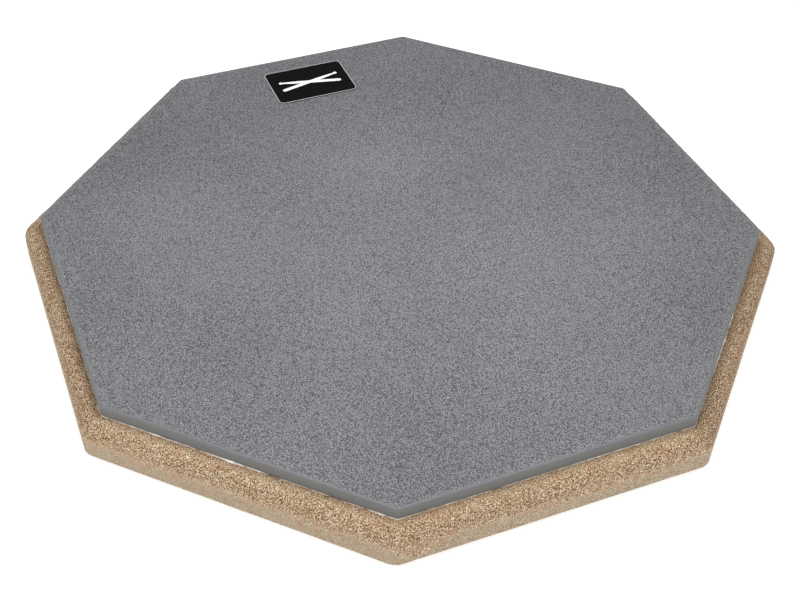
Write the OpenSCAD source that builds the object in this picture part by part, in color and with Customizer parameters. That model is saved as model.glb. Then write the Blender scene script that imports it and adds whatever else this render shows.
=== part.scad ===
// Octagonal practice pad: a rubber playing sheet glued on a fibreboard base.
// Millimetres. +Z is up, and the origin is under the middle of the pad, on the
// surface it stands on. The label is on the +Y side.

/* [Base board] */
// Width of the board from flat to flat
board_w = 305; // [200:1:400]
// Thickness of the board
board_t = 15; // [12:0.5:25]
// Radius of the routed round on the top edge
edge_r = 6; // [2:0.5:6.5]
// Radius of the eight upright corners
corner_r = 7; // [6.5:0.5:12]
// Size of the eased lower edge
arris = 0.5; // [0.2:0.1:1]

/* [Playing surface] */
// Distance from the board's side to the rubber sheet
inset = 8.25; // [7.5:0.25:15]
// Thickness of the rubber sheet
rubber_t = 5; // [3:0.5:10]
// Radius of the sheet's eight upright corners
rubber_corner_r = 2; // [1.5:0.5:6]
// Radius of the sheet's soft top edge
rubber_edge_r = 0.6; // [0.4:0.1:1.4]
// Thickness of the contact adhesive under the sheet
glue_t = 0.3; // [0.2:0.1:0.5]
// How far the adhesive shows past the sheet
glue_bead = 0.6; // [0.2:0.1:1]
// Turn of the sheet, as laid by hand
lay_turn = 0.15; // [0:0.05:1]

/* [Underside] */
// Thickness of the non-slip foam rubber
backing_t = 2; // [1.5:0.5:4]
// Thickness of the adhesive on the foam rubber
tape_t = 0.2; // [0.1:0.1:0.5]
// Radius of the hole through the backing
backing_hole_r = 11; // [10:0.5:20]

/* [Threaded insert] */
// Radius of the threaded hole, for an M8 screw
thread_r = 3.4; // [3.4:0.1:3.4]
// Radius of the insert's body
insert_r = 6; // [5.5:0.5:7]
// Length of the insert's body in the board
insert_l = 11; // [8:0.5:11]
// Radius of the insert's flange
flange_r = 9; // [8.5:0.5:9.5]
// Thickness of the insert's flange
flange_t = 1; // [0.6:0.1:1.2]

/* [Label] */
// Width of the label
label_w = 40; // [36:1:60]
// Depth of the label
label_d = 28; // [15:1:40]
// Radius of the label's corners
label_r = 2.5; // [1:0.5:4]
// Thickness of the label's film
film_t = 0.3; // [0.2:0.1:0.6]
// Thickness of the label's adhesive
label_glue_t = 0.1; // [0.1:0.1:0.3]
// Thickness of the printed ink
ink_t = 0.05; // [0.05:0.05:0.1]
// Distance from the label to the sheet's edge
label_gap = 11; // [5:0.1:30]
// Distance of the label from the middle of the side
label_shift = -0.3; // [-10:0.1:10]
// Turn of the label, as stuck by hand
label_turn = 0; // [-3:0.5:3]
// Width of the pale line round the label
border_w = 0.4; // [0.3:0.1:0.9]
// Length of each printed drumstick
stick_l = 31; // [15:1:31]
// Thickness of each printed drumstick
stick_w = 2; // [1:0.1:2.5]
// Turn of each drumstick, so that the two cross
stick_turn = 13; // [5:1:20]

/* [Hidden] */
SIDES = 8;
side_turn = 360 / SIDES;
half_turn = side_turn / 2;
fine = 96;
// Overlap that keeps a cut clear of the face it starts from
eps = 0.01;
// Bevel on the rubber sheet's lower edge, where the knife leaves it
sheet_arris = 0.1;
// How far the label's adhesive stops short of its edge
label_glue_in = 0.3;

// Heights of the layers, from the surface that the pad stands on
tape_z = backing_t;
board_z = tape_z + tape_t;
glue_z = board_z + board_t;
rubber_z = glue_z + glue_t;
label_z = rubber_z + rubber_t;
film_z = label_z + label_glue_t;
ink_z = film_z + film_t;

// The rubber sheet, and the backing, which is cut to the same outline
rubber_w = board_w - 2 * inset;
label_y = rubber_w / 2 - label_gap - label_d / 2;

// Distance of an octagon's corner from its middle, from the distance of its flat
function corner_dist(flat) = flat / cos(half_turn);

// Flat octagon whose flats lie flat from the middle, turned so that they face X and Y
module octagon(flat) {
    rotate(half_turn) circle(r = corner_dist(flat), $fn = SIDES);
}

// Octagon with round corners: the octagon through the centres of the corners, strips
// that reach out to the flats, and a circle on each corner
module round_octagon(w, r) {
    core = w / 2 - r;
    side_l = 2 * core * tan(half_turn);
    octagon(core);
    for (k = [0 : SIDES / 2 - 1]) rotate(k * side_turn) square([w, side_l], center = true);
    for (k = [0 : SIDES - 1]) rotate((k + 0.5) * side_turn)
        translate([corner_dist(core), 0]) circle(r = r, $fn = fine);
}

// Cross-section of a slab, w wide and t high, with rounds of radius top_r on its upper
// corners and small bevels on its lower corners
module slab_section(w, t, top_r, low_c) {
    x = w / 2;
    polygon([[-x + low_c, 0], [x - low_c, 0], [x, low_c], [x, t - top_r], [x - top_r, t],
             [-x + top_r, t], [-x, t - top_r], [-x, low_c]]);
    for (s = [-1, 1]) translate([s * (x - top_r), t - top_r]) circle(r = top_r, $fn = fine);
}

// Octagonal slab with round corners and a worked edge: the outline, cut down by four
// long slabs that cross in the middle, one for each pair of opposite sides
module octagon_slab(w, r, t, top_r, low_c) {
    intersection() {
        linear_extrude(t) round_octagon(w, r);
        slab(w, t, top_r, low_c, 0);
        slab(w, t, top_r, low_c, 1);
        slab(w, t, top_r, low_c, 2);
        slab(w, t, top_r, low_c, 3);
    }
}

// One long slab across the middle, k eighths of a turn round
module slab(w, t, top_r, low_c, k) {
    rotate(k * side_turn) rotate([90, 0, 0])
        linear_extrude(1.2 * w, center = true) slab_section(w, t, top_r, low_c);
}

// A plain octagonal sheet with round corners
module octagon_sheet(w, r, t) {
    linear_extrude(t) round_octagon(w, r);
}

// The sheet is laid by hand, so it sits a little askew on the board
module laid() {
    rotate(lay_turn) children();
}

// Places the label's layers on the sheet
module on_label() {
    laid() translate([label_shift, label_y, 0]) rotate(label_turn) children();
}

// Oblong with round corners
module round_oblong(w, d, r) {
    square([w - 2 * r, d], center = true);
    square([w, d - 2 * r], center = true);
    for (sx = [-1, 1], sy = [-1, 1])
        translate([sx * (w / 2 - r), sy * (d / 2 - r)]) circle(r = r, $fn = fine);
}

// Outline of a drumstick along X: a straight shaft, a shoulder that tapers to a thin
// neck, and a round tip
module drumstick() {
    neck_w = stick_w * 0.45;
    butt_x = -stick_l / 2;
    shoulder_x = stick_l * 0.2;
    tip_x = stick_l / 2 - stick_w * 0.45;
    translate([butt_x + stick_w / 2, 0]) circle(d = stick_w, $fn = fine);
    polygon([[butt_x + stick_w / 2, -stick_w / 2], [shoulder_x, -stick_w / 2],
             [tip_x, -neck_w / 2], [tip_x, neck_w / 2],
             [shoulder_x, stick_w / 2], [butt_x + stick_w / 2, stick_w / 2]]);
    translate([tip_x, 0]) circle(d = stick_w * 0.9, $fn = fine);
}

// Fibreboard base with a routed top edge and a blind hole for the insert
module base_board() {
    color("#b39b7d") difference() {
        translate([0, 0, board_z]) octagon_slab(board_w, corner_r, board_t, edge_r, arris);
        translate([0, 0, board_z - eps]) cylinder(r = insert_r, h = insert_l + eps, $fn = fine);
    }
}

// Rubber sheet that is played on
module playing_surface() {
    color("#7d7e81") laid() translate([0, 0, rubber_z])
        octagon_slab(rubber_w, rubber_corner_r, rubber_t, rubber_edge_r, sheet_arris);
}

// Film of contact adhesive, which shows a little past the sheet
module playing_surface_adhesive() {
    color("#cfc6b4") laid() translate([0, 0, glue_z])
        octagon_sheet(rubber_w + 2 * glue_bead, rubber_corner_r + glue_bead, glue_t);
}

// Foam rubber under the board
module non_slip_backing() {
    color("#1d1e20") difference() {
        octagon_sheet(rubber_w, rubber_corner_r, backing_t);
        translate([0, 0, -1]) cylinder(r = backing_hole_r, h = backing_t + 2, $fn = fine);
    }
}

// Adhesive between the foam rubber and the board
module backing_adhesive() {
    color("#d8d2c0") difference() {
        translate([0, 0, tape_z]) octagon_sheet(rubber_w, rubber_corner_r, tape_t);
        translate([0, 0, tape_z - 1]) cylinder(r = backing_hole_r, h = tape_t + 2, $fn = fine);
    }
}

// Insert with a threaded hole, its flange against the underside of the board
module threaded_insert() {
    color("#b8923f") difference() {
        union() {
            translate([0, 0, board_z]) cylinder(r = insert_r, h = insert_l, $fn = fine);
            translate([0, 0, board_z - flange_t]) cylinder(r = flange_r, h = flange_t, $fn = fine);
        }
        translate([0, 0, board_z - flange_t - 1])
            cylinder(r = thread_r, h = insert_l + flange_t + 2, $fn = fine);
    }
}

// Adhesive under the label
module label_adhesive() {
    color("#d8d8d8") on_label() translate([0, 0, label_z])
        linear_extrude(label_glue_t)
            round_oblong(label_w - 2 * label_glue_in, label_d - 2 * label_glue_in, label_r);
}

// Black film of the label
module label_film() {
    color("#101012") on_label() translate([0, 0, film_z])
        linear_extrude(film_t) round_oblong(label_w, label_d, label_r);
}

// Pale printed line round the edge of the label
module label_border() {
    color("#b9babc") on_label() translate([0, 0, ink_z]) linear_extrude(ink_t) difference() {
        round_oblong(label_w, label_d, label_r);
        round_oblong(label_w - 2 * border_w, label_d - 2 * border_w, label_r - border_w);
    }
}

// White printed mark: two drumsticks, crossed, with their tips at the label's upper corners
module label_mark() {
    color("#f4f4f2") on_label() translate([0, 0, ink_z]) linear_extrude(ink_t) {
        rotate(stick_turn) drumstick();
        mirror([1, 0]) rotate(stick_turn) drumstick();
    }
}

base_board();
playing_surface();
playing_surface_adhesive();
non_slip_backing();
backing_adhesive();
threaded_insert();
label_adhesive();
label_film();
label_border();
label_mark();
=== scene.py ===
import math

import bpy
import numpy as np
from mathutils import Matrix, Vector


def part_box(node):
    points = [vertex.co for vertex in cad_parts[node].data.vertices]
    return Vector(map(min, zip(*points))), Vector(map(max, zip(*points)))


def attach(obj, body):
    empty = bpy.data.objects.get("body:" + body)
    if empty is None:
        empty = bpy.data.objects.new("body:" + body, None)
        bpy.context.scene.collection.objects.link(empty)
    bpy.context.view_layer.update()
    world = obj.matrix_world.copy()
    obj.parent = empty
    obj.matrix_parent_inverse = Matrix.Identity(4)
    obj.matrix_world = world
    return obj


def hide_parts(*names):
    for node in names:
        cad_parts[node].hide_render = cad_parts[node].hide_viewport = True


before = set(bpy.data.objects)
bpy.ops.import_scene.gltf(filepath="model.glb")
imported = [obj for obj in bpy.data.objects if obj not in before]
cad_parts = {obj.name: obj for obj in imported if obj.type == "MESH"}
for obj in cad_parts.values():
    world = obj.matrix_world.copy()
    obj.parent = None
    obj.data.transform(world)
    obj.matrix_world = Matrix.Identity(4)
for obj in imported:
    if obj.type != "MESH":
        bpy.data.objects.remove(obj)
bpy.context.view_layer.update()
scene = bpy.context.scene
MM = 0.001


# --- Base board -------------------------------------------------------------------
# A 15 mm board of raw medium density fibreboard, cut to an octagon. A router with a
# round-over cutter has worked the upper edge and torn the soft core of the board, while
# the lower part of each side is left as the saw cut it, pale and smooth.

board_lo, board_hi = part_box("base_board")
BOARD_HALF = (board_hi.x - board_lo.x) / 2
CORNER_R = 7 * MM
EDGE_R = 6 * MM
ARRIS = 0.5 * MM
HOLE_R = 6 * MM
HOLE_DEPTH = 11 * MM
STEP = 0.65 * MM
# Radius of the corners on rows that lie under the middle.
TIGHT = 0.3 * MM
# Height that the cutter leaves as sawn, how far its line wanders, and the width over
# which the torn fibres fade out.
SAWN_HEIGHT, WANDER, FADE = 7.8 * MM, 3.0 * MM, 2.6 * MM
PIT_DEPTH, WAVE_DEPTH = 0.34 * MM, 0.10 * MM
# Middle and reach of the deeper cut, in sides counted round from the +X corner.
DUG_AT, DUG_REACH = 5.09, 0.09
# Start and end of the painted shade on the shelf, counted in the same way: a shadow of the
# rubber's wall painted on two of the sides. On every side a little painted shade also lies
# across the middle of the round.
SHADED_SIDES = ((3.0, 4.0), (6.0, 7.0))


def rounded_path(centres, radius, spacing, arc_points):
    """A closed path round a convex polygon, with an arc of the given radius on each corner.

    Each side is a row of evenly spaced points on the line between two arc centres, all
    with that side's outward normal. Each arc is one centre repeated, with the normal
    turning evenly from one side's to the next. A ring at distance d is core + d * normal.
    Returns core, normal and the distance run along the path at the given radius."""
    cores, turns = [], []
    count = len(centres)
    for k in range(count):
        here, after, before = centres[k], centres[(k + 1) % count], centres[k - 1]
        side_in, side_out = here - before, after - here
        turn_in = math.atan2(-side_in[0], side_in[1])
        turn = (math.atan2(-side_out[0], side_out[1]) - turn_in) % math.tau
        sweep = turn_in + turn * np.linspace(0, 1, arc_points)
        cores.append(np.repeat(here[None], arc_points, 0))
        turns.append(sweep)
        steps = max(int(np.hypot(*side_out) / spacing), 1)
        share = np.arange(1, steps) / steps
        cores.append(here + share[:, None] * side_out)
        turns.append(np.full(steps - 1, turn_in + turn))
    core, turn = np.concatenate(cores), np.concatenate(turns)
    normal = np.stack([np.cos(turn), np.sin(turn)], 1)
    ring = core + radius * normal
    run = np.concatenate([[0], np.cumsum(np.hypot(*np.diff(ring, axis=0).T))])
    return core, normal, run


def octagon_centres(half, radius):
    """Arc centres of an octagon with flats at distance half: eight points, an eighth of
    a turn apart, on the circle through the corners of the octagon at half - radius."""
    around = math.tau / 8 * (np.arange(8) + 0.5)
    reach = (half - radius) / math.cos(math.tau / 16)
    return reach * np.stack([np.cos(around), np.sin(around)], 1)


def lumps(points, size, seed):
    """Smooth random lumps, from 0 to 1, about size across. Random values sit on a cubic
    lattice of that pitch, and each point blends its eight nearest with a smooth step."""
    table = np.random.default_rng(seed).random((32, 32, 32))
    at = np.asarray(points) / size
    cell = np.floor(at).astype(int)
    part = at - cell
    part = part * part * (3 - 2 * part)
    total = 0
    for corner in np.ndindex(2, 2, 2):
        weight = np.prod(np.where(corner, part, 1 - part), -1)
        i, j, k = np.moveaxis((cell + corner) % 32, -1, 0)
        total = total + weight * table[i, j, k]
    return total


def skin(name, rows, start=None, end=None, ring=False):
    """A closed surface over rows of points. Each row joins the next with quads and its
    own last point to its first. start and end are poles that close the first and last
    rows with a fan. With ring, the last row joins the first, as on a tyre."""
    count, around = rows.shape[:2]
    vertices = rows.reshape(-1, 3)
    below = np.arange(count if ring else count - 1)[:, None] * around
    column = np.arange(around)[None]
    beside = (column + 1) % around
    above = (below + around) % (count * around)
    quads = np.stack([below + column, below + beside, above + beside, above + column], -1)
    faces = [quads.reshape(-1, 4)]
    for pole, first in ((start, 0), (end, (count - 1) * around)):
        if pole is None:
            continue
        tip = np.full(around, len(vertices))
        vertices = np.concatenate([vertices, [pole]])
        edge = [column[0] + first, beside[0] + first]
        fan = [tip, edge[1], edge[0]] if first == 0 else [tip, edge[0], edge[1]]
        faces.append(np.stack(fan, -1))
    mesh = bpy.data.meshes.new(name)
    mesh.vertices.add(len(vertices))
    mesh.vertices.foreach_set("co", vertices.astype(np.float32).ravel())
    corners = np.concatenate([f.ravel() for f in faces])
    sizes = np.concatenate([np.full(len(f), f.shape[1]) for f in faces])
    mesh.loops.add(len(corners))
    mesh.loops.foreach_set("vertex_index", corners.astype(np.int32))
    mesh.polygons.add(len(sizes))
    mesh.polygons.foreach_set("loop_start", (np.cumsum(sizes) - sizes).astype(np.int32))
    mesh.polygons.foreach_set("use_smooth", np.ones(len(sizes), bool))
    mesh.update(calc_edges=True)
    mesh.validate()
    piece = bpy.data.objects.new(name, mesh)
    scene.collection.objects.link(piece)
    return piece


def paint(piece, name, values, rows):
    """Stores one value per point of the grid on the mesh; a pole takes its row's mean."""
    values = np.broadcast_to(values, rows.shape[:2])
    flat = values.ravel()
    poles = len(piece.data.vertices) - flat.size
    ends = [values[0].mean(), values[-1].mean()]
    flat = np.concatenate([flat, ends[:poles] if poles == 2 else ends[1:1 + poles]])
    layer = piece.data.attributes.new(name, "FLOAT", "POINT")
    layer.data.foreach_set("value", flat.astype(np.float32))


def placed(core, normal, offsets, heights):
    """Rows of points from a path: one row for each pair of offset and height. An offset is
    the distance along the normal from the core line. Further in than TIGHT the whole ring
    shrinks instead, by the same distance at the flats, so that rows under the middle don't
    cross and no corner closes to a point."""
    flat = np.abs((core * normal).sum(1)).max() + TIGHT
    offsets, heights = np.broadcast_arrays(np.asarray(offsets, float), heights)
    if offsets.ndim == 1:
        offsets, heights = offsets[:, None], heights[:, None]
    ring = core + np.maximum(offsets, TIGHT)[..., None] * normal
    plan = (1 + np.minimum(offsets - TIGHT, 0) / flat)[..., None] * ring
    height = np.broadcast_to(heights[..., None], plan.shape[:2] + (1,))
    return np.concatenate([plan, height], -1)


def spokes(core, normal, radius):
    """Unit directions from the middle to each point of the path's ring at the radius."""
    ring = core + radius * normal
    return ring / np.hypot(ring[:, :1], ring[:, 1:])


def linear(colour):
    """sRGB hex to linear RGBA."""
    parts = [int(colour[i:i + 2], 16) / 255 for i in (1, 3, 5)]
    return [p / 12.92 if p <= 0.04045 else ((p + 0.055) / 1.055) ** 2.4 for p in parts] + [1]


def add(tree, kind, inputs=None, stops=None, **settings):
    """Adds a node. Each input is set to a value or linked to a socket, settings are the
    node's own, and stops are the position and colour of each stop of a colour ramp."""
    made = tree.nodes.new(kind)
    for key, value in settings.items():
        setattr(made, key, value)
    for key, value in (inputs or {}).items():
        if isinstance(value, bpy.types.NodeSocket):
            tree.links.new(value, made.inputs[key])
        else:
            made.inputs[key].default_value = value
    if stops:
        ramp = made.color_ramp.elements
        while len(ramp) < len(stops):
            ramp.new(0.5)
        for element, (position, colour) in zip(ramp, stops):
            element.position, element.color = position, linear(colour)
    return made


def material(name):
    """A new material with an empty node tree and an output."""
    made = bpy.data.materials.new(name)
    made.use_nodes = True
    made.node_tree.nodes.clear()
    return made, made.node_tree, made.node_tree.nodes.new("ShaderNodeOutputMaterial")


def raw_fibreboard():
    """Raw MDF. The routed edge is torn fibres, about 1 mm long, straw and dark brown
    side by side; the sawn side is paler and finer; painted shade darkens the round
    and, on two sides, the shelf."""
    made, tree, output = material("raw_fibreboard")
    spot = add(tree, "ShaderNodeTexCoord").outputs["Object"]
    routed = add(tree, "ShaderNodeAttribute", attribute_name="routed").outputs["Fac"]
    # This attribute marks painted shade: the middle of the round, and the shelf on two sides.
    shade_mask = add(tree, "ShaderNodeAttribute", attribute_name="painted_shade").outputs["Fac"]
    fibre_mm, clump_mm, dust_mm = 0.50, 4.0, 0.34
    fibres = add(tree, "ShaderNodeTexNoise", {"Vector": spot, "Scale": 1 / (fibre_mm * MM),
                 "Detail": 3.0, "Roughness": 0.7, "Distortion": 0.25}).outputs["Fac"]
    clumps = add(tree, "ShaderNodeTexNoise", {"Vector": spot, "Scale": 1 / (clump_mm * MM),
                 "Detail": 3.0, "Roughness": 0.6}).outputs["Fac"]
    dust = add(tree, "ShaderNodeTexNoise", {"Vector": spot, "Scale": 1 / (dust_mm * MM),
               "Detail": 2.0, "Roughness": 0.6}).outputs["Fac"]
    torn = add(tree, "ShaderNodeValToRGB", {"Fac": fibres}, stops=[
        (0.31, "#2e2014"), (0.43, "#8f7154"), (0.51, "#bea283"), (0.59, "#e4ceb0"),
        (0.69, "#fffaec")]).outputs["Color"]
    sawn = add(tree, "ShaderNodeValToRGB", {"Fac": dust}, stops=[
        (0.30, "#64543f"), (0.50, "#a4937d"), (0.70, "#dccdb8")]).outputs["Color"]
    stain = add(tree, "ShaderNodeValToRGB", {"Fac": clumps}, stops=[
        (0.32, "#e6cbb2"), (0.50, "#f6f1ea"), (0.68, "#f6ffff")]).outputs["Color"]
    body = add(tree, "ShaderNodeMix", {"Factor": routed, "A": sawn, "B": torn},
               data_type="RGBA")
    toned = add(tree, "ShaderNodeMix", {"Factor": 0.5, "A": body.outputs["Result"],
                "B": stain}, data_type="RGBA", blend_type="MULTIPLY")
    # Painted shade: a grey that multiplies the colour over the round and, on two sides, the shelf.
    painted_shade = add(tree, "ShaderNodeValToRGB", {"Fac": fibres}, stops=[
        (0.40, "#a69e97"), (0.50, "#dcd6d1"), (0.60, "#fcf9f6")]).outputs["Color"]
    dark = add(tree, "ShaderNodeMix", {"Factor": shade_mask, "A": toned.outputs["Result"],
               "B": painted_shade}, data_type="RGBA", blend_type="MULTIPLY")
    height = add(tree, "ShaderNodeMix", {"Factor": routed, "A": dust, "B": fibres},
                 data_type="FLOAT")
    depth = add(tree, "ShaderNodeMapRange", {"Value": routed, "To Min": 0.15, "To Max": 1.0})
    bump = add(tree, "ShaderNodeBump", {"Height": height.outputs["Result"],
               "Strength": depth.outputs["Result"], "Distance": 0.65 * MM})
    shine = add(tree, "ShaderNodeMapRange", {"Value": clumps, "To Min": 0.78, "To Max": 0.95})
    shader = add(tree, "ShaderNodeBsdfPrincipled", {"Base Color": dark.outputs["Result"],
                 "Roughness": shine.outputs["Result"], "IOR": 1.45,
                 "Specular IOR Level": 0.25, "Normal": bump.outputs["Normal"]})
    tree.links.new(shader.outputs["BSDF"], output.inputs["Surface"])
    return made


# The profile runs from the blind hole, over the underside, up the side, round the routed
# edge and in along the shelf to under the rubber.
core, normal, run = rounded_path(octagon_centres(BOARD_HALF, CORNER_R), CORNER_R, STEP, 10)
board_t = board_hi.z - board_lo.z
side_z = np.arange(ARRIS, board_t - EDGE_R, STEP)
sweep = np.linspace(0, math.pi / 2, 17)
shelf_in = np.array([-0.4, -1.2, -2.0, -2.8, -5.0, -40.0]) * MM
under_in = np.array([-60.0, -5.0, -0.5]) * MM
offsets = np.concatenate([under_in, [CORNER_R - ARRIS], np.full(len(side_z), CORNER_R),
                          CORNER_R - EDGE_R * (1 - np.cos(sweep)), [0.5 * MM, 0], shelf_in])
heights = np.concatenate([np.zeros(4), side_z,
                          board_t - EDGE_R * (1 - np.sin(sweep)), np.full(8, board_t)])
facing = np.concatenate([np.full(4, -math.pi / 2), np.zeros(len(side_z)), sweep,
                         np.full(8, math.pi / 2)])
rows = placed(core, normal, offsets, heights + board_lo.z)

# The router has cut down to a line that wanders along each side, and dug in deeper just
# past one corner.
wander = lumps(rows * [1, 1, 0], 22 * MM, 11) - 0.5 + 0.6 * (lumps(rows, 3 * MM, 12) - 0.5)
side_at = 8 * run / (run[-1] + STEP)
dug = np.clip(1 - np.abs(side_at - DUG_AT) / DUG_REACH, 0, 1)
edge_line = SAWN_HEIGHT * (1 - dug) + WANDER * wander
routed = np.clip((rows[..., 2] - board_lo.z - edge_line) / FADE + 0.5, 0, 1)
on_top = np.clip(1 - (board_t - heights[:, None]) / (0.4 * MM), 0, 1)
# Painted shade: the shelf on two sides darkened as if in the rubber's shadow, and the middle of the
# round darkened on every side.
on_shaded_sides = sum(np.clip(10 * np.minimum(side_at - start, end - side_at) + 0.5, 0, 1)
            for start, end in SHADED_SIDES)
round_shade = 0.6 * np.maximum(np.sin(2 * facing), 0)[:, None]
shade_mask = np.clip(round_shade + np.maximum(np.sin(facing), 0)[:, None] * on_shaded_sides, 0, 1)
# Torn fibres leave pits up to a third of a millimetre deep; the sawn side only waves a
# little. Nothing stands proud of the board's true size.
pits = PIT_DEPTH * routed * lumps(rows, 1.3 * MM, 13) ** 1.5 * (0.4 + lumps(rows, 5 * MM, 14))
waves = WAVE_DEPTH * lumps(rows, 9 * MM, 15)
worked = np.clip(np.cos(facing) + np.maximum(np.sin(facing), 0), 0, 1)[:, None]
level, rise = np.cos(facing)[:, None, None], np.sin(facing)[:, None, None]
outwards = np.concatenate([level * normal, np.broadcast_to(rise, rows.shape[:2] + (1,))], -1)
rows = rows - (worked * (pits + waves))[..., None] * outwards
hole = HOLE_R * spokes(core, normal, CORNER_R)
hole_rows = np.stack([np.column_stack([hole, np.full(len(hole), board_lo.z + depth)])
                      for depth in (HOLE_DEPTH, 0)])
rows = np.concatenate([hole_rows, rows])
board = skin("board", rows, start=(0, 0, board_lo.z + HOLE_DEPTH), end=(0, 0, board_hi.z))
blank = np.zeros((2, rows.shape[1]))
paint(board, "routed", np.concatenate([blank, np.maximum(routed, on_top)]), rows)
paint(board, "painted_shade", np.concatenate([blank, shade_mask * np.ones_like(routed)]), rows)
board.data.materials.append(raw_fibreboard())
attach(board, "root")
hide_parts("base_board")


# --- Playing surface --------------------------------------------------------------
# A 5 mm sheet of grey rubber, moulded with a fine matt grain and cut to the octagon with
# a knife. The knife leaves a smooth, slightly wavy side and a soft upper edge that
# catches the light as a thin bright line.

rubber_lo, rubber_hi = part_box("playing_surface")
INSET = 8.25 * MM
RUBBER_HALF = BOARD_HALF - INSET
RUBBER_R = 2 * MM
RUBBER_EDGE = 0.6 * MM
LAY_TURN = math.radians(0.15)
# Offset of the one row between an underside's middle and its edge.
UNDER_ROW = -60 * MM
# Width of the smooth strip that the cut leaves along the top's edge.
SMOOTH_STRIP = 0.9 * MM
# How far the knife wavers, how far the side is drawn in, and how far the top is from flat.
WAVER, HOLLOW, UNEVEN = 0.22 * MM, 0.12 * MM, 0.10 * MM


def turned_by(points, angle):
    """Points turned about the upright axis through the origin."""
    c, s = math.cos(angle), math.sin(angle)
    plan = points[..., :2] @ np.array([[c, s], [-s, c]])
    return np.concatenate([plan, points[..., 2:]], -1)


def grained_rubber():
    """Grey rubber. The moulded grain is about 0.3 mm, and its flecks are drawn at twice
    that so that they show; it breaks the gloss into a soft sheen. The cut side is smooth."""
    made, tree, output = material("grained_rubber")
    spot = add(tree, "ShaderNodeTexCoord").outputs["Object"]
    cut = add(tree, "ShaderNodeAttribute", attribute_name="cut").outputs["Fac"]
    grain_mm, fleck_mm, cloud_mm = 0.28, 0.56, 60.0
    grain = add(tree, "ShaderNodeTexNoise", {"Vector": spot, "Scale": 1 / (grain_mm * MM),
                "Detail": 3.0, "Roughness": 0.75}).outputs["Fac"]
    flecks = add(tree, "ShaderNodeTexVoronoi", {"Vector": spot, "Scale": 1 / (fleck_mm * MM),
                 "Randomness": 0.70}, feature="F1").outputs["Distance"]
    cloud = add(tree, "ShaderNodeTexNoise", {"Vector": spot, "Scale": 1 / (cloud_mm * MM),
                "Detail": 4.0, "Roughness": 0.55}).outputs["Fac"]
    relief = add(tree, "ShaderNodeMath", {0: grain, 1: flecks}, operation="SUBTRACT")
    tone = add(tree, "ShaderNodeMapRange", {"Value": relief.outputs["Value"],
               "From Min": -0.25, "From Max": 0.32})
    base = add(tree, "ShaderNodeValToRGB", {"Fac": tone.outputs["Result"]}, stops=[
        (0.0, "#3a3b3e"), (0.5, "#67686b"), (1.0, "#9b9c9f")]).outputs["Color"]
    mottle = add(tree, "ShaderNodeValToRGB", {"Fac": cloud}, stops=[
        (0.35, "#f4f4f4"), (0.65, "#ffffff")]).outputs["Color"]
    toned = add(tree, "ShaderNodeMix", {"Factor": 1.0, "A": base, "B": mottle},
                data_type="RGBA", blend_type="MULTIPLY")
    smooth = add(tree, "ShaderNodeMapRange", {"Value": cut, "From Max": 0.5})
    sliced = add(tree, "ShaderNodeValToRGB", {"Fac": cut}, stops=[
        (0.50, "#68696c"), (0.85, "#696b6c"), (1.0, "#6f7171")]).outputs["Color"]
    sided = add(tree, "ShaderNodeMix", {"Factor": smooth.outputs["Result"],
                "A": toned.outputs["Result"], "B": sliced}, data_type="RGBA")
    depth = add(tree, "ShaderNodeMapRange", {"Value": cut, "From Max": 0.5, "To Min": 0.9,
                "To Max": 0.05})
    bump = add(tree, "ShaderNodeBump", {"Height": relief.outputs["Value"],
               "Strength": depth.outputs["Result"], "Distance": 0.16 * MM})
    shine = add(tree, "ShaderNodeMapRange", {"Value": cut, "To Min": 0.62, "To Max": 0.46})
    shader = add(tree, "ShaderNodeBsdfPrincipled", {"Base Color": sided.outputs["Result"],
                 "Roughness": shine.outputs["Result"], "IOR": 1.52,
                 "Normal": bump.outputs["Normal"]})
    tree.links.new(shader.outputs["BSDF"], output.inputs["Surface"])
    return made


core, normal, _ = rounded_path(octagon_centres(RUBBER_HALF, RUBBER_R), RUBBER_R, 1.6 * MM, 9)
rubber_t = rubber_hi.z - rubber_lo.z
side = np.linspace(0, 1, 7)
sweep = np.linspace(0, math.pi / 2, 9)[1:]
inward = np.concatenate([[0.9, 0.6, 0.3, 0], -np.geomspace(1, 118, 26)]) * MM
offsets = np.concatenate([[UNDER_ROW, 0], np.full(len(side), RUBBER_R),
                          RUBBER_R - RUBBER_EDGE * (1 - np.cos(sweep)), inward])
heights = np.concatenate([[0, 0], side * (rubber_t - RUBBER_EDGE),
                          rubber_t - RUBBER_EDGE * (1 - np.sin(sweep)),
                          np.full(len(inward), rubber_t)])
rows = placed(core, normal, offsets, heights + rubber_lo.z)
# The knife wavers by a few tenths along each side, and the side is a little hollow, as
# the sheet is pressed down at its edge.
waver = WAVER * (lumps(rows * [1, 1, 0], 26 * MM, 21) - 0.8)
hollow = HOLLOW * np.sin(math.pi * np.clip(heights / rubber_t, 0, 1))[:, None]
on_side = (offsets[:, None] > 0.5 * MM) * 1.0
rows[..., :2] += (on_side * (waver - hollow))[..., None] * normal
# The top is flat to about a tenth of a millimetre.
flat_top = heights >= rubber_t - 1e-9
rows[..., 2] -= (flat_top & (offsets < 0))[:, None] * UNEVEN * lumps(rows * [1, 1, 0], 45 * MM, 22)
rows = turned_by(rows, LAY_TURN)
rubber = skin("rubber_sheet", rows, start=(0, 0, rubber_lo.z), end=(0, 0, rubber_hi.z - 0.05 * MM))
# The cut side counts as 1, the soft edge as a half, and the grain starts inside it.
edge_share = 0.5 + 0.5 * np.clip((rubber_t - RUBBER_EDGE / 2 - heights) / (RUBBER_EDGE / 2), 0, 1)
inside = np.clip((RUBBER_R - offsets - RUBBER_EDGE) / SMOOTH_STRIP, 0, 1) * flat_top
paint(rubber, "cut", (edge_share * (1 - inside))[:, None], rows)
rubber.data.materials.append(grained_rubber())
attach(rubber, "root")
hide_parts("playing_surface")


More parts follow.
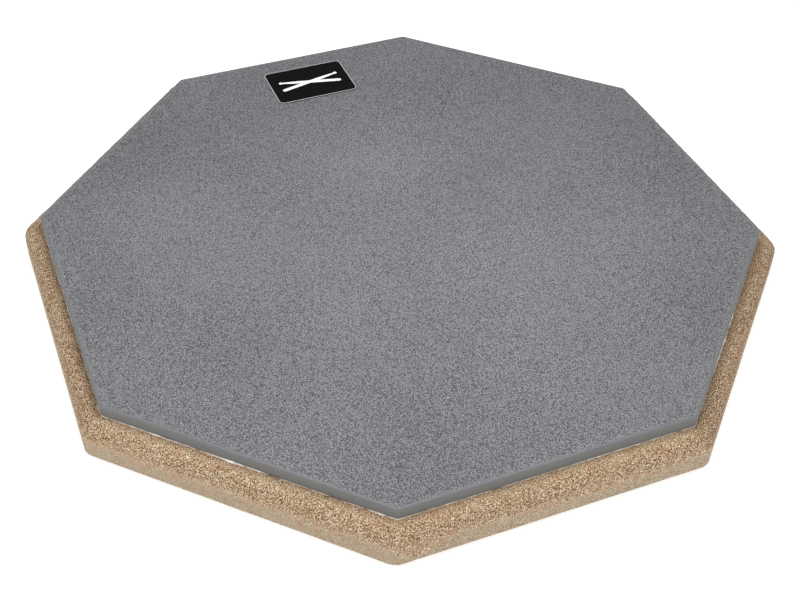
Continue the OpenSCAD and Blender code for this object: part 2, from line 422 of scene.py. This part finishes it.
# --- Contact adhesive under the playing surface -----------------------------------
# Solvent adhesive brushed on the board before the sheet is pressed down. A little is
# squeezed out at the sheet's foot in places, and dries there as a thin pale bead.

glue_lo, glue_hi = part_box("playing_surface_adhesive")
FILM_EDGE = 0.03 * MM
BEAD = 0.7 * MM
# Where it is squeezed out: start and end, in sides counted round from the +X corner,
# and how much.
SQUEEZED = ((0.30, 0.48, 0.6), (1.60, 1.85, 0.8), (4.16, 4.32, 0.7), (4.36, 4.58, 1.0),
            (4.88, 5.03, 0.7), (5.62, 5.74, 0.4), (6.25, 6.60, 0.7), (7.70, 7.82, 0.6))


def dried_adhesive():
    """Dried contact adhesive: cream to amber, a little glossy, with dust in it."""
    made, tree, output = material("dried_contact_adhesive")
    spot = add(tree, "ShaderNodeTexCoord").outputs["Object"]
    patch = add(tree, "ShaderNodeTexNoise", {"Vector": spot, "Scale": 1 / (6.0 * MM),
                "Detail": 3.0, "Roughness": 0.6}).outputs["Fac"]
    lump = add(tree, "ShaderNodeTexNoise", {"Vector": spot, "Scale": 1 / (0.9 * MM),
               "Detail": 2.0}).outputs["Fac"]
    colour = add(tree, "ShaderNodeValToRGB", {"Fac": patch}, stops=[
        (0.38, "#8a7d70"), (0.48, "#d6cdc2"), (0.60, "#fbf7f0")]).outputs["Color"]
    bump = add(tree, "ShaderNodeBump", {"Height": lump, "Strength": 0.5, "Distance": 0.15 * MM})
    shine = add(tree, "ShaderNodeMapRange", {"Value": lump, "To Min": 0.3, "To Max": 0.55})
    shader = add(tree, "ShaderNodeBsdfPrincipled", {"Base Color": colour, "IOR": 1.48,
                 "Roughness": shine.outputs["Result"], "Normal": bump.outputs["Normal"]})
    tree.links.new(shader.outputs["BSDF"], output.inputs["Surface"])
    return made


core, normal, run = rounded_path(octagon_centres(RUBBER_HALF, RUBBER_R), RUBBER_R, 0.7 * MM, 9)
foot = np.concatenate([core + RUBBER_R * normal, np.zeros((len(core), 1))], -1)
side_at = 8 * run / (run[-1] + STEP)
squeezed = sum(amount * np.clip(12 * np.minimum(side_at - start, end - side_at), 0, 1)
               for start, end, amount in SQUEEZED)
bead = squeezed * (0.3 + 0.7 * lumps(foot, 2.6 * MM, 32))
width = FILM_EDGE + BEAD * bead
height = 0.45 * BEAD * bead
sweep = np.linspace(0, math.pi / 2, 6)[:, None]
glue_t = glue_hi.z - glue_lo.z
ones = np.ones((1, len(width)))
offsets = np.concatenate([UNDER_ROW * ones, RUBBER_R + width * np.cos(sweep),
                          (RUBBER_R - 0.2 * MM) * ones, UNDER_ROW * ones])
heights = np.concatenate([0 * ones, glue_t * np.sin(sweep) + height * np.sin(sweep) ** 2,
                          glue_t * ones, glue_t * ones])
rows = turned_by(placed(core, normal, offsets, heights + glue_lo.z), LAY_TURN)
adhesive = skin("adhesive_bead", rows, start=(0, 0, glue_lo.z), end=(0, 0, glue_hi.z))
adhesive.data.materials.append(dried_adhesive())
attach(adhesive, "root")
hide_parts("playing_surface_adhesive")


# --- Non-slip backing and its tape ------------------------------------------------
# Foam rubber, 2 mm thick, cut with the same outline as the playing sheet and held by a
# film of transfer adhesive. Its closed cells give a fine, matt, slightly pitted face.

backing_lo, backing_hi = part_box("non_slip_backing")
BACKING_HOLE = 11 * MM
BACKING_EDGE = 0.35 * MM


def foam_rubber():
    """Black closed-cell foam rubber: cut cells about 0.5 mm wide, drawn as fine pits."""
    made, tree, output = material("black_foam_rubber")
    spot = add(tree, "ShaderNodeTexCoord").outputs["Object"]
    cell_mm = 0.8
    cells = add(tree, "ShaderNodeTexVoronoi", {"Vector": spot, "Scale": 1 / (cell_mm * MM),
                "Randomness": 1.0}, feature="F1").outputs["Distance"]
    cloud = add(tree, "ShaderNodeTexNoise", {"Vector": spot, "Scale": 1 / (22 * MM),
                "Detail": 4.0}).outputs["Fac"]
    colour = add(tree, "ShaderNodeValToRGB", {"Fac": cells}, stops=[
        (0.05, "#17181a"), (0.35, "#26282b"), (0.75, "#35373b")]).outputs["Color"]
    dusty = add(tree, "ShaderNodeValToRGB", {"Fac": cloud}, stops=[
        (0.35, "#d9d9d9"), (0.65, "#ffffff")]).outputs["Color"]
    toned = add(tree, "ShaderNodeMix", {"Factor": 1.0, "A": colour, "B": dusty},
                data_type="RGBA", blend_type="MULTIPLY")
    bump = add(tree, "ShaderNodeBump", {"Height": cells, "Strength": 0.7, "Distance": 0.2 * MM})
    shine = add(tree, "ShaderNodeMapRange", {"Value": cloud, "To Min": 0.72, "To Max": 0.9})
    shader = add(tree, "ShaderNodeBsdfPrincipled", {"Base Color": toned.outputs["Result"],
                 "IOR": 1.5, "Roughness": shine.outputs["Result"],
                 "Normal": bump.outputs["Normal"]})
    tree.links.new(shader.outputs["BSDF"], output.inputs["Surface"])
    return made


def transfer_adhesive():
    """Clear transfer adhesive: a straw-coloured film, faintly streaked along the roll."""
    made, tree, output = material("transfer_adhesive")
    spot = add(tree, "ShaderNodeTexCoord").outputs["Object"]
    along = add(tree, "ShaderNodeMapping", {"Vector": spot, "Scale": (0.1, 1, 1)})
    streak = add(tree, "ShaderNodeTexNoise", {"Vector": along.outputs["Vector"],
                 "Scale": 1 / (1.5 * MM), "Detail": 3.0}).outputs["Fac"]
    colour = add(tree, "ShaderNodeValToRGB", {"Fac": streak}, stops=[
        (0.35, "#b9ae90"), (0.65, "#d8cfb4")]).outputs["Color"]
    bump = add(tree, "ShaderNodeBump", {"Height": streak, "Strength": 0.3, "Distance": 0.05 * MM})
    shader = add(tree, "ShaderNodeBsdfPrincipled", {"Base Color": colour, "IOR": 1.47,
                 "Roughness": 0.35, "Normal": bump.outputs["Normal"]})
    tree.links.new(shader.outputs["BSDF"], output.inputs["Surface"])
    return made


core, normal, _ = rounded_path(octagon_centres(RUBBER_HALF, RUBBER_R), RUBBER_R, 3 * MM, 9)
rim = spokes(core, normal, RUBBER_R)
backing_t = backing_hi.z - backing_lo.z
sweep = np.linspace(0, math.pi / 2, 5)
edge_out = RUBBER_R - BACKING_EDGE * (1 - np.sin(sweep))
edge_up = BACKING_EDGE * (1 - np.cos(sweep))
offsets = np.concatenate([[-80 * MM, -6 * MM, 0], edge_out, edge_out[::-1], [0, -6 * MM, -80 * MM]])
heights = np.concatenate([np.zeros(3), edge_up, backing_t - edge_up[::-1], np.full(3, backing_t)])
rows = placed(core, normal, offsets, heights + backing_lo.z)
hole_wide = BACKING_HOLE + np.array([0, 0, BACKING_EDGE])
hole_up = backing_lo.z + np.array([backing_t, BACKING_EDGE, 0])
hole_rows = np.stack([np.column_stack([wide * rim, np.full(len(rim), up)])
                      for wide, up in zip(hole_wide, hole_up)])
backing = skin("foam_backing", np.concatenate([hole_rows, rows]), ring=True)
backing.data.materials.append(foam_rubber())
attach(backing, "root")
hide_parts("non_slip_backing")

tape = transfer_adhesive()
for name in ("backing_adhesive", "label_adhesive"):
    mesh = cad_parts[name].data
    mesh.materials.clear()
    mesh.materials.append(tape)


# --- Threaded insert --------------------------------------------------------------
# A flanged steel insert with an M8 thread, turned from bar, zinc plated with a yellow
# passivate, and screwed into the board from below so that its flange grips the face.

insert_lo, insert_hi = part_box("threaded_insert")
THREAD_MINOR = 3.4 * MM
THREAD_DEPTH = 0.6 * MM
THREAD_PITCH = 1.25 * MM
FLANGE_T = 1 * MM
TURNED_EDGE = 0.25 * MM
# Radius and depth of the countersink at each mouth.
MOUTH_R, MOUTH_DEPTH = 4.3 * MM, 0.9 * MM


def plated_steel():
    """Zinc plate with a yellow passivate: a metal with gold, straw and faint violet
    patches, and turning marks round the axis."""
    made, tree, output = material("yellow_zinc_plated_steel")
    spot = add(tree, "ShaderNodeTexCoord").outputs["Object"]
    tint = add(tree, "ShaderNodeTexNoise", {"Vector": spot, "Scale": 1 / (3.5 * MM),
               "Detail": 3.0}).outputs["Fac"]
    marks = add(tree, "ShaderNodeTexWave", {"Vector": spot, "Scale": 0.5 / (0.4 * MM),
                "Distortion": 1.2, "Detail": 2.0}, wave_type="RINGS", rings_direction="Z")
    colour = add(tree, "ShaderNodeValToRGB", {"Fac": tint}, stops=[
        (0.34, "#a8863f"), (0.50, "#cdb265"), (0.60, "#d9c584"), (0.70, "#b49a8f")])
    shine = add(tree, "ShaderNodeMapRange", {"Value": tint, "To Min": 0.24, "To Max": 0.42})
    bump = add(tree, "ShaderNodeBump", {"Height": marks.outputs["Fac"], "Strength": 0.25,
               "Distance": 0.03 * MM})
    shader = add(tree, "ShaderNodeBsdfPrincipled", {"Base Color": colour.outputs["Color"],
                 "Metallic": 1.0, "Roughness": shine.outputs["Result"],
                 "Normal": bump.outputs["Normal"]})
    tree.links.new(shader.outputs["BSDF"], output.inputs["Surface"])
    return made


turn = np.linspace(0, math.tau, 97)[:-1]
length = insert_hi.z - insert_lo.z
flange_r = (insert_hi.x - insert_lo.x) / 2
outer_r = np.array([MOUTH_R, flange_r - TURNED_EDGE, flange_r, flange_r,
                    flange_r - TURNED_EDGE, HOLE_R, HOLE_R, HOLE_R - TURNED_EDGE, MOUTH_R])
outer_z = np.array([0, 0, TURNED_EDGE, FLANGE_T - TURNED_EDGE / 2, FLANGE_T, FLANGE_T,
                    length - TURNED_EDGE, length, length])
outer = np.stack([outer_r[:, None] * np.cos(turn), outer_r[:, None] * np.sin(turn),
                  np.broadcast_to(insert_lo.z + outer_z[:, None], (len(outer_z), len(turn)))], -1)
# The thread's depth is a triangle wave of height plus turn. A countersink joins it to
# the face at each mouth.
down = np.linspace(length - MOUTH_DEPTH, MOUTH_DEPTH, 96)[:, None]
phase = (down / THREAD_PITCH - turn / math.tau) % 1
tooth = THREAD_DEPTH * (1 - np.abs(2 * phase - 1))
bore_r = THREAD_MINOR + tooth
bore = np.stack([bore_r * np.cos(turn), bore_r * np.sin(turn),
                 insert_lo.z + down * np.ones_like(bore_r)], -1)
insert = skin("flanged_insert", np.concatenate([outer, bore]), ring=True)
insert.data.materials.append(plated_steel())
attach(insert, "root")
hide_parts("threaded_insert")


# --- Label ------------------------------------------------------------------------
# A black polyester film, die-cut with round corners and screen printed: a pale line
# round the edge and a pair of crossed drumsticks in white.

film_lo, film_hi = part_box("label_film")
LABEL_W, LABEL_D, LABEL_R = 40 * MM, 28 * MM, 2.5 * MM
FILM_ROUND = 0.12 * MM


def black_film():
    """Black polyester film, satin, with faint handling marks in the gloss."""
    made, tree, output = material("black_polyester_film")
    spot = add(tree, "ShaderNodeTexCoord").outputs["Object"]
    smear = add(tree, "ShaderNodeTexNoise", {"Vector": spot, "Scale": 1 / (5 * MM),
                "Detail": 4.0, "Distortion": 0.6}).outputs["Fac"]
    grit = add(tree, "ShaderNodeTexNoise", {"Vector": spot, "Scale": 1 / (0.5 * MM),
               "Detail": 2.0}).outputs["Fac"]
    colour = add(tree, "ShaderNodeValToRGB", {"Fac": grit}, stops=[
        (0.30, "#050506"), (0.70, "#0c0c0d")]).outputs["Color"]
    shine = add(tree, "ShaderNodeMapRange", {"Value": smear, "To Min": 0.38, "To Max": 0.55})
    bump = add(tree, "ShaderNodeBump", {"Height": grit, "Strength": 0.15, "Distance": 0.03 * MM})
    shader = add(tree, "ShaderNodeBsdfPrincipled", {"Base Color": colour, "IOR": 1.5,
                 "Specular IOR Level": 0.04, "Roughness": shine.outputs["Result"],
                 "Normal": bump.outputs["Normal"]})
    tree.links.new(shader.outputs["BSDF"], output.inputs["Surface"])
    return made


def screen_ink(name, thin, thick):
    """Screen-printed ink: slightly uneven in cover, with the mesh's fine print in it."""
    made, tree, output = material(name)
    spot = add(tree, "ShaderNodeTexCoord").outputs["Object"]
    cover = add(tree, "ShaderNodeTexNoise", {"Vector": spot, "Scale": 1 / (0.6 * MM),
                "Detail": 3.0}).outputs["Fac"]
    colour = add(tree, "ShaderNodeValToRGB", {"Fac": cover}, stops=[
        (0.30, thin), (0.55, thick)]).outputs["Color"]
    bump = add(tree, "ShaderNodeBump", {"Height": cover, "Strength": 0.3, "Distance": 0.02 * MM})
    shader = add(tree, "ShaderNodeBsdfPrincipled", {"Base Color": colour, "IOR": 1.49,
                 "Roughness": 0.5, "Normal": bump.outputs["Normal"]})
    tree.links.new(shader.outputs["BSDF"], output.inputs["Surface"])
    return made


reach = np.array([LABEL_W / 2 - LABEL_R, LABEL_D / 2 - LABEL_R])
centres = reach * np.array([[1, -1], [1, 1], [-1, 1], [-1, -1]])
core, normal, _ = rounded_path(centres, LABEL_R, 1 * MM, 13)
film_t = film_hi.z - film_lo.z
sweep = np.linspace(0, math.pi / 2, 6)
out = np.concatenate([[LABEL_R * 0.5, LABEL_R], LABEL_R - FILM_ROUND * (1 - np.cos(sweep)),
                      [LABEL_R * 0.5]])
up = np.concatenate([[0, 0], film_t - FILM_ROUND * (1 - np.sin(sweep)), [film_t]])
plan = core + out[:, None, None] * normal
rows = np.concatenate([plan, np.broadcast_to(up[:, None, None], plan.shape[:2] + (1,))], -1)
middle = np.array([(film_lo.x + film_hi.x) / 2, (film_lo.y + film_hi.y) / 2, film_lo.z])
rows = turned_by(rows, LAY_TURN) + middle
film = skin("black_film", rows, start=middle, end=middle + [0, 0, film_t])
film.data.materials.append(black_film())
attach(film, "root")
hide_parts("label_film")

for name, thin, thick in (("label_border", "#8f9093", "#b4b5b8"),
                          ("label_mark", "#dededc", "#f8f8f6")):
    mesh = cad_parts[name].data
    mesh.materials.clear()
    mesh.materials.append(screen_ink(name.replace("label", "printed") + "_ink", thin, thick))


# --- Studio -----------------------------------------------------------------------
# A pale floor that also glows a little, an even white surround, two large soft lights in
# front, and a small one close above the pad, which fades towards its edges.

floor_mesh = bpy.data.meshes.new("floor")
FLOOR = 30.0
corners = [(-FLOOR, -FLOOR, 0), (FLOOR, -FLOOR, 0), (FLOOR, FLOOR, 0), (-FLOOR, FLOOR, 0)]
floor_mesh.from_pydata(corners, [], [(0, 1, 2, 3)])
floor = bpy.data.objects.new("floor", floor_mesh)
scene.collection.objects.link(floor)
floor_look, tree, output = material("pale_floor")
shader = add(tree, "ShaderNodeBsdfPrincipled", {"Base Color": linear("#cfcfce"), "Roughness": 0.9,
             "Specular IOR Level": 0.1, "Emission Color": (1, 1, 1, 1), "Emission Strength": 0.60})
tree.links.new(shader.outputs["BSDF"], output.inputs["Surface"])
floor_mesh.materials.append(floor_look)

world = bpy.data.worlds.new("studio")
scene.world = world
world.use_nodes = True
surround = world.node_tree.nodes["Background"]
surround.inputs["Color"].default_value = (1, 1, 1, 1)
surround.inputs["Strength"].default_value = 0.55

for name, spot, size, watts in (("left", (-1.13, -0.20, 0.96), 0.8, 6.4),
                                ("right", (0.36, -1.09, 0.96), 0.8, 6.2),
                                ("overhead", (-0.015, -0.035, 0.29), 0.20, 0.60)):
    lamp = bpy.data.lights.new(name, "AREA")
    lamp.shape = "SQUARE"
    lamp.size = size
    lamp.energy = watts
    light = bpy.data.objects.new(name, lamp)
    light.location = spot
    light.rotation_mode = "QUATERNION"
    light.rotation_quaternion = Vector(spot).to_track_quat("Z", "Y")
    scene.collection.objects.link(light)
scene.view_settings.view_transform = "Standard"

# The camera stands at the front, turned a little to the left, and looks down.
TURN, TILT, ROLL = math.radians(-22.86), math.radians(42.37), math.radians(1.38)
DISTANCE = 0.5536
# The point aimed at: a height on the pad's axis, then to the view's left and down.
AIM_UP, AIM_LEFT, AIM_DOWN = board_lo.z + 10 * MM, 0.22 * MM, 25.69 * MM
back = Vector((math.sin(TURN) * math.cos(TILT), -math.cos(TURN) * math.cos(TILT), math.sin(TILT)))
right = Vector((0, 0, 1)).cross(back).normalized()
up = back.cross(right)
c, s = math.cos(ROLL), math.sin(ROLL)
right, up = c * right + s * up, c * up - s * right
aim = Vector((0, 0, AIM_UP)) - AIM_LEFT * right - AIM_DOWN * up
eye = aim + back * DISTANCE
lens = bpy.data.cameras.new("camera")
lens.lens, lens.sensor_width = 56.8, 36
lens.clip_start = 0.01
camera = bpy.data.objects.new("camera", lens)
camera.matrix_world = Matrix([[right.x, up.x, back.x, eye.x], [right.y, up.y, back.y, eye.y],
                              [right.z, up.z, back.z, eye.z], [0, 0, 0, 1]])
scene.collection.objects.link(camera)
scene.camera = camera
